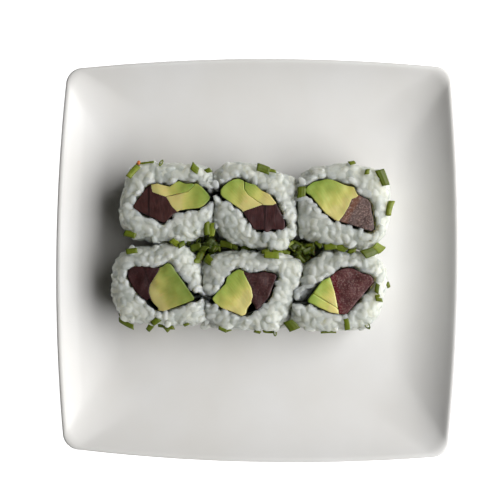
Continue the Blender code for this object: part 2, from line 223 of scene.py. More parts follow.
# Glazed porcelain: a hard clear glaze over a white body, so highlights are sharp and the rest is soft
def glazedPorcelain():
    material, shader = newMaterial("glazedPorcelain", Roughness=0.5, IOR=1.4, Coat_Weight=0.2,
                                   Coat_Roughness=0.04)
    where = objectPlace(material)
    tone = noiseOf(material, where, 40)
    link(material, ramp(material, tone, [(0.3, "#DEDCD8"), (0.7, "#E3E2E0")]), shader.inputs["Base Color"])
    waves = noiseOf(material, where, 14, detail=1)   # glaze lies in slow shallow waves
    bumpTo(material, shader, waves, 0.12)
    return material


def dishLoop(bm, half, corner, height):
    look = dishLook
    bow = look["bow"] * (half / look["half"]) ** 2
    quarterTurn = math.pi / 2
    loop = []
    for quarter in range(4):
        spin = Matrix.Rotation(quarter * quarterTurn, 2)
        steps = look["sideCuts"]
        side = [(1.0, -1 + corner + 2 * (1 - corner) * k / steps) for k in range(steps)]
        steps = look["cornerCuts"]
        bend = [(1 - corner + corner * math.cos(a), 1 - corner + corner * math.sin(a))
                for a in (quarterTurn * k / steps for k in range(steps))]
        for u, v in (spin @ Vector(p) for p in side + bend):
            spot = Vector((u * (half - bow * v * v), v * (half - bow * u * u), height)) * mm
            loop.append(bm.verts.new(spot))
    return [bm.edges.new((loop[i - 1], loop[i])) for i in range(len(loop))]


def dishProfile():
    look = dishLook
    radius, shell, half = look["wallRadius"], look["shell"], look["half"]
    sweep = math.acos(1 - (look["rimZ"] - look["floorZ"]) / radius)
    floorHalf = half - (radius + shell) * math.sin(sweep)

    def corner(size):
        share = min(1, max(0, (size - floorHalf) / (half - floorHalf)))
        return look["floorCorner"] + (look["rimCorner"] - look["floorCorner"]) * share

    inside, outside = [], []
    for step in range(look["wallSteps"] + 1):
        angle = sweep * step / look["wallSteps"]
        size = floorHalf + radius * math.sin(angle)
        top = look["floorZ"] + radius * (1 - math.cos(angle))
        inside.append((size, corner(size), top))
        outside.append((size + shell * math.sin(angle), corner(size), top - shell * math.cos(angle)))
    inner, outer = inside[-1], outside[-1]
    middle = ((inner[0] + outer[0]) / 2, (inner[2] + outer[2]) / 2)
    lip = []                                   # the rim is a half round between both walls
    reach = math.dist(inner[::2], outer[::2]) / 2
    for step in range(1, look["lipSteps"]):
        angle = math.pi / 2 + sweep - math.pi * step / look["lipSteps"]
        lip.append((min(half, middle[0] + reach * math.cos(angle)), look["rimCorner"],
                    middle[1] + reach * math.sin(angle)))
    foot, width, under = look["foot"], look["footWidth"] / 2, outside[2][2] - 1
    ring = [(width + 1.2, under), (width, 0.6), (width - 0.6, 0), (0.6 - width, 0), (-width, 0.6),
            (-width - 1, look["floorZ"] - shell)]
    base = [(foot + aside, look["floorCorner"], height) for aside, height in ring]
    return [*inside, *lip, *outside[:1:-1], *base]


def makeDish():
    bm = bmesh.new()
    loops = [dishLoop(bm, *section) for section in dishProfile()]
    for first, second in zip(loops, loops[1:]):
        bmesh.ops.bridge_loops(bm, edges=first + second)
    for cap in (loops[0], loops[-1]):
        bmesh.ops.contextual_create(bm, geom=cap)
    bmesh.ops.recalc_face_normals(bm, faces=bm.faces)
    addPiece("dishGlazed", meshFrom(bm, "dishGlazed"), glazedPorcelain(), ["dish"])
    print("dish done")


# Rice

riceLook = {
    "length": (4.8, 7.4), "width": (3.0, 4.4), "thick": (2.3, 3.0),   # mm, cooked short grain
    "spacing": 2.9,       # mm between the middles of neighbouring grains
    "tilt": 16,           # degrees that a grain may lean out of the surface
    "sunk": 0.95,         # mm of a grain's middle below the roll's surface
    "fuller": (0.2, -0.4, 0),   # mm that the rice stands out more towards +x and -y
    "belly": 21,          # mm, height at which pieces that stand together touch
    "beside": (3.9, 6.2),       # mm from a neighbour's belly: fully pressed against it, and not at all
    "left": 0.5,          # mm left between two pieces that press together
    "besideNori": 0.15,   # mm that a grain's middle keeps from the nori
    "overNori": 0.6,      # share of the grains that reach over the nori's edge
    "nearNori": 4,        # mm, how far the grains beside the nori reach
    "crowd": 0.7,         # mm that they are pressed towards it
    "standing": (1.0, 1.6),     # mm below the cut face at which their middles stand
    "cutRise": 0.8,       # mm that the knife left standing above the cut face
    "core": 0.3,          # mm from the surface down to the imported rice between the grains
    "voxel": 0.34,        # mm, the grain of the fused surface
    "smooth": 4,          # times that it is smoothed
    "shapes": 8,          # kinds of grain
    "seed": 5,
}


# Grains that cling where the outline of a piece has a gap: place (mm) and heading in degrees
looseGrains = {
    "back_left": [((-23.9, 25.0, 29.6), 20), ((-21.6, 26.6, 29.8), 60), ((-21.4, 24.2, 29.0), 80)],
    "front_middle": [((-22.1, -4.8, 29.6), 60), ((-20.4, -6.2, 30.2), 100), ((-22.2, -7.6, 29.4), 80),
                     ((-20.6, -9.0, 30.0), 70), ((-22.4, -10.8, 29.4), 95), ((-20.8, -12.2, 30.0), 60),
                     ((-22.2, -14.4, 29.2), 100), ((-20.4, -15.4, 29.8), 30), ((-23.0, -23.4, 28.6), 100),
                     ((-21.6, -27.0, 27.6), 110), ((-20.4, -29.8, 26.0), 120)],
    "front_left": [((-22.8, -29.4, 27), 70), ((-22.2, -31.8, 24), 20), ((-20.4, -32.4, 22), -20),
                   ((-24.2, -33.0, 24), 10), ((-21.0, -29.0, 25), 100), ((-19.5, -31.0, 24), 60)],
    "front_right": [((21.5, -14.2, 28.6), 25), ((24.2, -13.0, 29.0), 50), ((21.2, -17.0, 28.2), 80),
                    ((27.2, -12.0, 29.2), 15), ((24.4, -15.6, 26.6), 60), ((27.6, -14.2, 26.2), 55),
                    ((25.2, -17.8, 25.2), 30), ((29.6, -11.8, 27.2), 40), ((22.6, -18.2, 25.8), 0),
                    ((15.2, -29.0, 25), 40), ((16.6, -31.4, 23), 0), ((18.4, -29.4, 25), 60),
                    ((15.8, -26.6, 26), 90), ((17.8, -32.8, 21), -10), ((14.2, -32.0, 22), 20)],
}


# Cooked rice: moist and translucent, the starch between the grains lets light through
def cookedRice():
    material, shader = newMaterial("cookedRice", Roughness=0.42, IOR=1.4, Subsurface_Weight=1.0,
                                   Subsurface_Scale=13 * mm, Coat_Weight=0.1, Coat_Roughness=0.15)
    shader.inputs["Subsurface Radius"].default_value = (1.0, 0.95, 0.8)
    where = objectPlace(material)
    tint = addNode(material, "ShaderNodeAttribute", settings={"attribute_name": "tint"}).outputs["Fac"]
    cloud = noiseOf(material, where, 1.6)
    mixed = maths(material, "MULTIPLY", maths(material, "ADD", tint, cloud), 0.5)
    colour = ramp(material, mixed, [(0.2, "#AAAFA8"), (0.5, "#BFC2B9"), (0.8, "#CED0C5")])
    link(material, colour, shader.inputs["Base Color"])
    bumpTo(material, shader, noiseOf(material, where, 0.9), 0.08)
    return material


# One grain about 1 long, 1 wide and 1 thick: plump, with one end narrower and a nick at the germ
def grainShape(pick):
    bm = bmesh.new()
    bmesh.ops.create_uvsphere(bm, u_segments=10, v_segments=8, radius=0.5)
    bend = pick.uniform(-0.10, 0.10)
    taper = pick.uniform(0.06, 0.22)
    for vert in bm.verts:
        along, across, up = vert.co.z, vert.co.x, vert.co.y
        full = (abs(2 * along) ** 0.9) / 2 * (1 if along > 0 else -1)
        wide = 1.06 - taper * (along + 0.5) - 0.06 * pick.random()
        vert.co = Vector((full, across * wide + bend * (0.25 - full * full), up * wide))
        if full > 0.3 and across > 0.05:
            vert.co.y -= 0.07
    bmesh.ops.recalc_face_normals(bm, faces=bm.faces)
    return arraysOf(bm)


# Spots spread evenly over the parts of a surface that are wanted
def spreadSpots(mesh, spacing, wanted, pick):
    mesh.calc_loop_triangles()
    corners = np.array([v.co[:] for v in mesh.vertices])
    triangles = np.array([t.vertices[:] for t in mesh.loop_triangles])
    a, b, c = (corners[triangles[:, k]] for k in range(3))
    cross = np.cross(b - a, c - a)
    areas = np.linalg.norm(cross, axis=1) / 2
    draw = np.random.default_rng(pick.randrange(10 ** 6))
    count = int(areas.sum() / (spacing * mm) ** 2 * 14)
    chosen = draw.choice(len(areas), size=count, p=areas / areas.sum())
    u, v = draw.random(count), draw.random(count)
    flip = u + v > 1
    u[flip], v[flip] = 1 - u[flip], 1 - v[flip]
    spots = a[chosen] + (b - a)[chosen] * u[:, None] + (c - a)[chosen] * v[:, None]
    normals = cross[chosen] / (2 * areas[chosen, None])
    cell = spacing * mm
    taken = {}
    kept = []
    for spot, normal in zip(spots, normals):
        home = tuple(int(value // cell) for value in spot)
        near = (p for i in (-1, 0, 1) for j in (-1, 0, 1) for k in (-1, 0, 1)
                for p in taken.get((home[0] + i, home[1] + j, home[2] + k), ()))
        if any(((p - spot) ** 2).sum() < cell * cell for p in near):
            continue
        if not wanted(Vector(spot), Vector(normal)):
            continue
        taken.setdefault(home, []).append(spot)
        kept.append((Vector(spot), Vector(normal)))
    return kept


def joinedMesh(name, parts, tints):
    points = np.concatenate([p for p, _ in parts])
    faces, start = [], 0
    for own, ownFaces in parts:
        faces += [[start + i for i in face] for face in ownFaces]
        start += len(own)
    mesh = bpy.data.meshes.new(name)
    mesh.from_pydata(points.tolist(), [], faces)
    tint = mesh.attributes.new("tint", "FLOAT", "POINT")
    tint.data.foreach_set("value", np.concatenate([np.full(len(p), t) for (p, _), t in zip(parts, tints)]))
    mesh.update()
    return mesh


def smoothRice(place):
    bm = weldedCopy("rice_" + place)
    bmesh.ops.triangulate(bm, faces=bm.faces)
    return shaped(meshFrom(bm, "blank"), [
        ("REMESH", {"mode": "VOXEL", "voxel_size": 1.0 * mm}),
        ("SMOOTH", {"factor": 0.5, "iterations": 8}),
    ])


# Where pieces stand together their shoulders are pressed out towards each other
def pressedTogether(skin, place):
    look = riceLook
    trees = [surfaceOf(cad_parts["rice_" + other].data) for other in places if other != place]
    whole, none = look["beside"]
    for vert in skin.vertices:
        spot = vert.co
        near, _, _, far = min((tree.find_nearest(spot) for tree in trees), key=lambda n: n[3])
        low = Vector((spot.x, spot.y, look["belly"] * mm))
        gap = min(tree.find_nearest(low)[3] for tree in trees) / mm
        share = min(1, max(0, (none - gap) / (none - whole)))
        aside = (near - spot) * Vector((1, 1, 0))
        if share and aside.length > 0:
            vert.co += aside.normalized() * max(0, far / 2 - look["left"] / 2 * mm) * share
    skin.update()


# Whether a place, seen from above, is over the nori or what it wraps
def overFilling(trees, spot, top):
    above = Vector((spot[0], spot[1], top + 9 * mm))
    for tree in trees:
        hit = tree.ray_cast(above, Vector((0, 0, -1)))[0]
        if hit and hit.z > top - 3 * mm:
            return True
    return False


# Grains pressed against the nori are flattened by it instead of lying across it
def pressedBack(points, middle, trees, top):
    for index in np.nonzero(points[:, 2] > top - 6 * mm)[0]:
        point = points[index]
        if not overFilling(trees, point, top):
            continue
        inside, outside = 0.0, 1.0
        for _ in range(5):
            share = (inside + outside) / 2
            if overFilling(trees, middle + (point - middle) * share, top):
                outside = share
            else:
                inside = share
        points[index, :2] = (middle + (point - middle) * inside)[:2]


def placedGrain(turn, middle, shapes, pick):
    points, faces = pick.choice(shapes)
    size = [pick.uniform(*riceLook[key]) * mm for key in ("length", "width", "thick")]
    return (points * size) @ np.array(turn).T + np.array(middle), faces


def makeRice(place, nori, materials, shapes):
    look = riceLook
    pick = random.Random(look["seed"] + places.index(place))
    skin = smoothRice(place)
    pressedTogether(skin, place)
    trees = sliceSurfaces(place)
    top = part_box("tuna_" + place)[1][2] + 0.5 * mm
    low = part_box("rice_" + place)[0][2]

    def wanted(spot, normal):
        if normal.z < -0.6 or spot.z < low + 1.2 * mm:
            return False
        return nori.find_nearest(spot)[3] > look["besideNori"] * mm

    parts, tints = [], []
    for spot, normal in spreadSpots(skin, look["spacing"], wanted, pick):
        turn = Vector((0, 0, 1)).rotation_difference(normal).to_matrix()
        turn = turn @ Matrix.Rotation(pick.uniform(0, 2 * math.pi), 3, "Z")
        lean = math.radians(look["tilt"])
        turn = turn @ Matrix.Rotation(pick.uniform(-lean, lean), 3, "Y")
        sunk = look["sunk"] - max(-0.2, normal.dot(Vector(look["fuller"]))) + pick.uniform(-0.2, 0.2)
        middle = np.array(spot - normal * sunk * mm)
        near, _, _, far = nori.find_nearest(spot)
        beside = normal.z > 0.3 and far < look["nearNori"] * mm
        if beside:
            towards = np.array([near.x - spot.x, near.y - spot.y, 0])
            crowd = look["crowd"] * (1 - far / (look["nearNori"] * mm)) * mm
            middle += towards / max(np.linalg.norm(towards), mm) * crowd
            middle[2] = max(middle[2], top - pick.uniform(*look["standing"]) * mm)
        placed, faces = placedGrain(turn, middle, shapes, pick)
        limit = top + look["cutRise"] * mm * pick.uniform(-0.5, 1)
        over = placed[:, 2] > limit
        placed[over, 2] = limit + (placed[over, 2] - limit) * 0.25
        if beside:
            pressedBack(placed, middle, trees if pick.random() < look["overNori"] else [nori, *trees], top)
        parts.append((placed, faces))
        tints.append(pick.random())
    for spot, heading in looseGrains.get(place, []):
        turn = Matrix.Rotation(math.radians(heading), 3, "Z")
        parts.append(placedGrain(turn, Vector(spot) * mm, shapes, pick))
        tints.append(0.2)
    grains = joinedMesh("grains_" + place, parts, tints)
    tree = surfaceOf(grains)
    core = shaped(skin, [("DISPLACE", {"strength": -look["core"] * mm, "mid_level": 0})])
    bm = bmesh.new()
    bm.from_mesh(grains)
    bm.from_mesh(core)
    fused = shaped(meshFrom(bm, "fused"), [
        ("REMESH", {"mode": "VOXEL", "voxel_size": look["voxel"] * mm}),
        ("SMOOTH", {"factor": 0.5, "iterations": look["smooth"]}),
    ])
    perGrain = len(shapes[0][1])
    found = [tree.find_nearest(v.co)[2] // perGrain for v in fused.vertices]
    tint = fused.attributes.new("tint", "FLOAT", "POINT")
    tint.data.foreach_set("value", np.array(tints)[found])
    addPiece("riceGrains_" + place, fused, materials["rice"], ["rice_" + place])
    print("rice", place, len(parts), "grains", len(fused.polygons), "faces")
    return surfaceOf(fused)


# Nori

noriLook = {
    "step": 0.7,                # mm between the points of its edge
    "wave": 0.2, "tear": 0.35,  # mm that the edge wanders sideways and up
    "damp": 0.45,               # mm that the damp sheet is thinner than its solid
    "drop": 0.8,                # mm that the knife pressed its edge down
    "bands": (0.5, 2.0, 6.0),   # mm down from the edge
}


# Roasted seaweed sheet, damp from the rice: nearly black with a green cast and a papery grain
def roastedNori():
    material, shader = newMaterial("roastedNori", Roughness=0.42, IOR=1.4)
    where = objectPlace(material)
    mottled = noiseOf(material, where, 1.5, detail=6)
    colour = ramp(material, mottled, [(0.3, "#0B0E0C"), (0.75, "#1E241C")])
    link(material, colour, shader.inputs["Base Color"])
    bumpTo(material, shader, noiseOf(material, where, 0.5), 0.15)
    return material


def makeNori(place, material):
    look = noriLook
    bm = weldedCopy("nori_" + place)
    top = max(v.co.z for v in bm.verts)
    low = min(v.co.z for v in bm.verts)
    rest = [f for f in bm.faces if any(v.co.z < top - 0.01 * mm for v in f.verts)]
    bmesh.ops.delete(bm, geom=rest, context="FACES")
    bmesh.ops.dissolve_edges(bm, edges=[e for e in bm.edges if not e.is_boundary])
    for edge in [e for e in bm.edges if e.is_valid]:
        cuts = int(edge.calc_length() / (look["step"] * mm))
        if cuts:
            bmesh.ops.subdivide_edges(bm, edges=[edge], cuts=cuts)
    trees = sliceSurfaces(place)
    for vert in bm.verts:
        near, _, _, far = min((tree.find_nearest(vert.co) for tree in trees), key=lambda n: n[3])
        if 0.5 * mm < far < 1.5 * mm:
            vert.co += (near - vert.co).normalized() * look["damp"] * mm
        shift = noise.noise_vector(vert.co / (1.7 * mm)) * look["wave"] * mm
        vert.co.x += shift.x
        vert.co.y += shift.y
    faces = list(bm.faces)
    tops = bmesh.ops.triangulate(bm, faces=faces)["faces"]
    sheet = tops
    depth = top - low
    for band in (*look["bands"], depth / mm - sum(look["bands"])):
        edges = [e for e in bm.edges if e.is_boundary]
        grown = bmesh.ops.extrude_edge_only(bm, edges=edges)["geom"]
        bmesh.ops.translate(bm, verts=[g for g in grown if isinstance(g, bmesh.types.BMVert)],
                            vec=(0, 0, -band * mm))
    for vert in {v for f in sheet for v in f.verts}:
        vert.co.z += (noise.noise(vert.co / (2.6 * mm)) * look["tear"] - look["drop"]) * mm
    bmesh.ops.holes_fill(bm, edges=[e for e in bm.edges if e.is_boundary], sides=0)
    bmesh.ops.recalc_face_normals(bm, faces=bm.faces)
    mesh = meshFrom(bm, "nori")
    addPiece("noriSheet_" + place, mesh, material, ["nori_" + place])
    return surfaceOf(mesh)


# Fillings

fillingLook = {
    "voxel": 0.32,    # mm
    "smooth": 1,      # times that the surface is smoothed
    "swell": 0.5, "swellSize": 5,   # mm that a slice is uneven, and over what length
    "press": 0.22,    # mm that it presses outwards into the nori
    "joined": 0.5,    # mm that tuna and avocado press into each other
    "creased": 0.1,   # mm beside another slice of its own kind, which leaves a crease
    "close": 1.5,     # mm within which a slice counts as beside another
}

# Where each slice of avocado is green, under its skin, where it is yellow, by the stone (mm), and its tone, a
# painted light and shade factor that makes the slice brighter or darker as the light falls on it
avocadoTurns = {
    "back_left_upper": ((-31, 38), (-48, 33.5), 0.9),
    "back_left_lower": ((-22, 31), (-41, 27), 0.92),
    "back_middle_left": ((-14, 39), (-1, 25), 1.0),
    "back_middle_right": ((-4, 39), (8, 28), 1.0),
    "back_right": ((31, 40), (43, 21), 1.03),
    "front_left": ((-34, -8), (-52, -19), 0.68),
    "front_middle": ((-14, -7), (-2, -23), 1.02),
    "front_right_upper": ((31, -11), (41, -20), 1.16),
    "front_right_lower": ((27, -19), (40, -25), 1.16),
}


# Ripe avocado flesh: smooth and buttery, green next to the skin and yellow towards the stone, with painted
# light and shade scaling the colour of each slice
def avocadoFlesh(place, green, yellow, tone):
    material, shader = newMaterial("avocadoFlesh_" + place, Roughness=0.38, IOR=1.45, Coat_Weight=0.15,
                                   Coat_Roughness=0.2, Subsurface_Weight=0.2, Subsurface_Scale=1.5 * mm)
    where = objectPlace(material)
    start, end = Vector((*green, 0)) * mm, Vector((*yellow, 0)) * mm
    run = end - start
    turned = addNode(material, "ShaderNodeMapping", {"Vector": where}, {"vector_type": "TEXTURE"},
                     Location=start, Rotation=(0, 0, math.atan2(run.y, run.x)),
                     Scale=(run.length, run.length, run.length))
    slope = addNode(material, "ShaderNodeSeparateXYZ", {"Vector": turned.outputs[0]}).outputs["X"]
    stirred = maths(material, "MULTIPLY_ADD", noiseOf(material, where, 5), 0.4, slope)
    streaks = addNode(material, "ShaderNodeMapping", {"Vector": turned.outputs[0]}, Scale=(3, 24, 3))
    drag = addNode(material, "ShaderNodeTexNoise", {"Vector": streaks.outputs[0]}, Scale=1.0, Detail=3)
    rubbed = maths(material, "MULTIPLY_ADD", drag.outputs["Fac"], 0.15, stirred)
    colour = ramp(material, rubbed, [
        (0.12, "#5C7427"), (0.34, "#84993F"), (0.62, "#A0AC52"), (0.9, "#C3BE68"), (1.0, "#CDC27A")])
    # painted light and shade: the tone scales the colour, so each slice is its own lit or shaded copy
    paintedLitColour = addNode(material, "ShaderNodeVectorMath", {0: colour}, {"operation": "SCALE"}, Scale=tone)
    link(material, paintedLitColour.outputs[0], shader.inputs["Base Color"])
    bumpTo(material, shader, drag.outputs["Fac"], 0.12)
    return material


# How each piece of tuna looks: dark and light red, the way that its fibres run (degrees) and how long
# and wide they are (mm), a band of another red along a line (mm, with its width), and its pale flecks.
# A near-black band is painted shade in a split of the flesh; a brown or red band is the flesh's own colour.
tunaTurns = {
    "back_left": ("#331C1A", "#4A2D2A", 95, (3.5, 0.7), ((-51.5, 33), (-51.3, 21)), 0.8, "#1D0B0B", 0.0),
    "back_middle": ("#321B1B", "#492B2B", 85, (3.5, 0.7), ((5.5, 26), (5.2, 15)), 0.8, "#261213", 0.0),
    # back_right: its grey dark and light colours and its flecks are painted sheen over the red flesh
    "back_right": ("#3F2F2D", "#6A5854", 60, (1.4, 0.8), ((49.4, 30), (43.4, 19)), 2.4, "#704B3C", 0.7),
    "front_left": ("#271212", "#371D1E", 110, (3.5, 0.7), ((-52, -8), (-48, -20)), 0.7, "#241010", 0.05),
    "front_middle": ("#2F1818", "#452828", 70, (3.0, 0.7), ((9, -8), (14, -20)), 1.2, "#3F2222", 0.12),
    "front_right": ("#401B1D", "#5D3636", 80, (1.4, 0.9), ((38.7, -7), (40.8, -19)), 2.2, "#560C16", 0.4),
}


# Raw tuna: wet dark red muscle with fine pale fibres and flecks of fat, satin where the knife went; where the
# flesh is grey, its colours and flecks are painted sheen
def rawTuna(place, dark, light, heading, fibre, line, width, band, flecks):
    material, shader = newMaterial("rawTuna_" + place, Roughness=0.42, IOR=1.36, Coat_Weight=0.12,
                                   Coat_Roughness=0.2, Subsurface_Weight=0.15, Subsurface_Scale=1.2 * mm)
    where = objectPlace(material)
    turned = addNode(material, "ShaderNodeMapping", {"Vector": where}, {"vector_type": "TEXTURE"},
                     Rotation=(0, 0, math.radians(heading)),
                     Scale=(fibre[0] * mm, fibre[1] * mm, fibre[0] * mm))
    fibres = addNode(material, "ShaderNodeTexNoise", {"Vector": turned.outputs[0]}, Scale=1.0, Detail=4)
    both = maths(material, "ADD", fibres.outputs["Fac"], noiseOf(material, where, 5))
    flesh = ramp(material, maths(material, "MULTIPLY", both, 0.5), [(0.38, dark), (0.62, light)])
    start, run = Vector((*line[0], 0)) * mm, Vector(line[1]) - Vector(line[0])
    beside = addNode(material, "ShaderNodeMapping", {"Vector": where}, {"vector_type": "TEXTURE"},
                     Location=start, Rotation=(0, 0, math.atan2(run.y, run.x)),
                     Scale=(width * mm, width * mm, width * mm))
    away = addNode(material, "ShaderNodeSeparateXYZ", {"Vector": beside.outputs[0]}).outputs["Y"]
    wander = maths(material, "MULTIPLY_ADD", noiseOf(material, where, 3), 0.8, away)
    reach = maths(material, "ABSOLUTE", maths(material, "SUBTRACT", wander, 0.4))
    share = ramp(material, reach, [(0.25, "#FFFFFF"), (0.95, "#000000")])
    # the band: painted shade where it is near black, the flesh's own colour where it is brown or red
    crackShadeAndEdgeBanded = addNode(material, "ShaderNodeMix", {"Factor": share, 6: flesh}, {"data_type": "RGBA"})
    crackShadeAndEdgeBanded.inputs[7].default_value = linear(band)
    spots = ramp(material, noiseOf(material, where, 0.9, detail=5, roughness=0.7),
                 [(0.5, "#000000"), (0.64, "#FFFFFF")])
    amount = maths(material, "MULTIPLY", spots, flecks)
    fatAndSheenFlecked = addNode(material, "ShaderNodeMix", {"Factor": amount, 6: crackShadeAndEdgeBanded.outputs[2]},
                      {"data_type": "RGBA"})
    # pale flecks: fat in the flesh, and painted sheen on the grey piece
    fatAndSheenFlecked.inputs[7].default_value = linear("#A98E84")
    link(material, fatAndSheenFlecked.outputs[2], shader.inputs["Base Color"])
    bumpTo(material, shader, fibres.outputs["Fac"], 0.12)
    return material


def makeFilling(node, material, slotName):
    look = fillingLook
    bm = weldedCopy(node)
    bmesh.ops.triangulate(bm, faces=bm.faces)
    mesh = shaped(meshFrom(bm, node), [
        ("REMESH", {"mode": "VOXEL", "voxel_size": look["voxel"] * mm}),
        ("SMOOTH", {"factor": 0.5, "iterations": look["smooth"]}),
    ])
    normals = [v.normal.copy() for v in mesh.vertices]
    place = next(p for p in places if p in node)
    others = [(surfaceOf(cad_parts[n].data), look["creased" if n.startswith(slotName) else "joined"])
              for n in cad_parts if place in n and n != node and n.startswith(("tuna", "avocado"))]
    for vert, normal in zip(mesh.vertices, normals):
        swell = noise.noise(vert.co / (look["swellSize"] * mm)) * look["swell"]
        far, beside = min((tree.find_nearest(vert.co)[3] / mm, press) for tree, press in others)
        press = look["press"] + (beside - look["press"]) * max(0, 1 - far / look["close"])
        vert.co += normal * (press * (1 - normal.z) + swell * 0.3) * mm
        vert.co.z += swell * 0.8 * mm
    addPiece(node + "_cut", mesh, material, [node])


# Chives

# What shows of each cut: where it is (mm), its heading in degrees, length, width and kind, and its
# height where it bridges a gap
chiveCuts = {
    "back_left": [(-52.9, 47.7, 8, 7.5, 1.0, "tube", 29), (-57.2, 45.4, 95, 3.4, 0.8, "tube", 28),
                  (-59.2, 42.7, 51, 7.4, 2.8, "tube"),
                  (-45.4, 47.1, -20, 0.8, 3.4, "ring", 29), (-28.9, 44.2, -40, 4.4, 3.2, "split"),
                  (-22.4, 44.7, 20, 2.8, 2.2, "tube", 31), (-60.4, 12.2, -14, 5.8, 3.0, "tube", 29)],
    "back_middle": [(4.3, 44.4, -18, 6.5, 3.6, "split"), (-22.6, 15.3, 93, 6.5, 3.0, "tube", 28),
                    (-20, 14.8, 82, 6.8, 2.8, "split", 28), (8.6, 43.2, -12, 4, 1.6, "tube")],
    "back_right": [(47.1, 47.1, 15, 3, 2.0, "split"), (54.4, 43, 80, 2.5, 2.1, "tube"),
                   (61.7, 40.3, -66, 8.2, 4.0, "split"), (65.4, 25.4, 76, 7.4, 2.8, "tube"),
                   (22.8, 33, 86, 5.6, 3.8, "split", 31)],
    "front_left": [(-65.2, -28.3, -75, 3.6, 1.6, "tube"), (-62.3, -32.2, -24, 8.4, 2.8, "split"),
                   (-47.4, -29.8, 38, 4.6, 3.0, "tube"), (-50.4, -32.6, 62, 4.4, 2.8, "split"),
                   (-45, -33, -8, 2.6, 2.6, "tube"), (-42.2, -34.4, -60, 4.0, 2.8, "split"),
                   (-40.2, -32.8, 8, 3.6, 2.4, "tube"), (-32.5, -31.3, 20, 2.6, 1.4, "tube")],
    "front_middle": [(-14.6, -33.4, -25, 4.2, 1.8, "tube"), (-11.8, -33.8, 25, 2.8, 1.2, "tube"),
                     (2.0, -34.8, -12, 3.2, 1.4, "tube"), (7.4, -35.1, 0, 5.4, 1.4, "tube", 24),
                     (10.8, -35.2, 10, 1.8, 2.6, "ring", 24)],
    "front_right": [(18.0, -31.6, -50, 5.6, 4.8, "split", 28), (36.2, -34.8, -2, 7.7, 1.5, "tube"),
                    (45.2, -30.4, -80, 5.6, 2.6, "split"), (55, -30.7, 35, 1.6, 3.8, "ring", 28),
                    (59.6, -12.9, 82, 4.6, 2.0, "split"), (59.5, -16.8, 20, 2.4, 1.4, "tube"),
                    (60.4, -18.2, -12, 3.4, 1.8, "tube"), (64.7, -11.2, -60, 2.8, 2.0, "tube")],
    "between": [(-38.2, 8.2, -38, 5.0, 3.0, "split", 29), (-35.2, 7.2, 30, 3.6, 2.6, "tube"),
                (-31.7, 8.5, 10, 1.6, 3.0, "ring"), (-26.6, 9.1, -40, 1.8, 3.0, "ring"),
                (-59.6, 4.3, 8, 5.5, 2.6, "tube"), (-26.0, 2.4, 66, 7.6, 3.2, "split"),
                (-27.6, -0.8, 30, 3.4, 2.8, "tube"), (-21.2, -0.2, -40, 5.0, 3.8, "split"),
                (-13.2, 7.8, -6, 6.4, 3.6, "split"), (-9, 6.6, -30, 3.4, 2.8, "tube"),
                (-4.3, 6.2, -20, 5.0, 3.6, "split"), (2, 5.6, -24, 5.8, 3.4, "split"),
                (11.6, 4.9, 12, 5.2, 3.0, "split"), (8.6, 2.4, -3, 7.4, 3.2, "split"),
                (15.4, 3.6, -14, 4.2, 2.8, "tube"), (5.6, 4.2, 24, 4.0, 2.6, "tube"),
                (20.6, 6.8, -30, 6.0, 3.8, "split"), (26.5, 6.2, 24, 6.4, 4.0, "split"),
                (24, 2.4, -34, 5.5, 3.6, "tube"), (31.4, 8.8, -40, 4.2, 3.2, "split"),
                (37, 7.4, 14, 6.4, 3.4, "split"), (42.6, 6.8, -26, 5.2, 3.8, "split"),
                (47.4, 4.6, 6, 4.0, 2.4, "tube"), (55.4, 4.2, 22, 7.2, 4.2, "split"),
                (60.4, 5.4, -34, 6.2, 4.4, "split"), (56.6, 7.6, 40, 3.8, 2.8, "tube")],
}

chiveLook = {
    "sides": 20,           # faces round a tube
    "skin": 0.42,          # mm thick
    "ribs": 4, "ribDepth": 0.07,
    "lift": 0.5,           # mm that a cut lies on top of the grains
    "sunk": 0.25,          # mm that a cut sinks into the grain that it was moved to
    "hanging": (18, 24, 1),   # mm, heights for a cut that hangs over the edge of the rice
    "tucked": 130,         # cuts down in the crevice between the rows
    "tuckedZ": (15, 25),   # mm
    "heaps": [(-22.8, 7.0, 4.0, 34), (22.8, 4.6, 4.5, 40)],   # mm and number, on the dish between four pieces
    "heapZ": (7.8, 24.5),  # mm
    "seed": 11,
}


# Cut chives: a waxy ribbed green outside and a paler wet inside; the darkest greens are painted shade for the
# cuts down between the rows
def choppedChive():
    material, shader = newMaterial("choppedChive", Roughness=0.45, IOR=1.38, Subsurface_Weight=0.1,
                                   Subsurface_Scale=0.8 * mm, Coat_Weight=0.05, Coat_Roughness=0.2)
    tint = addNode(material, "ShaderNodeAttribute", settings={"attribute_name": "tint"}).outputs["Fac"]
    cloud = noiseOf(material, objectPlace(material), 1.2)
    colour = ramp(material, maths(material, "MULTIPLY_ADD", cloud, 0.35, tint), [
        (0.1, "#222C06"), (0.45, "#525F10"), (0.8, "#6E7B20"), (1.0, "#949C44")])
    link(material, colour, shader.inputs["Base Color"])
    return material


# The same points and faces in an order that is the same in each run
def inOrder(points, faces):
    order = np.lexsort(points.round(7).T)
    rank = np.argsort(order)
    turned = [[int(rank[i]) for i in face] for face in faces]
    starts = [face.index(min(face)) for face in turned]
    return points[order], sorted(face[k:] + face[:k] for face, k in zip(turned, starts))


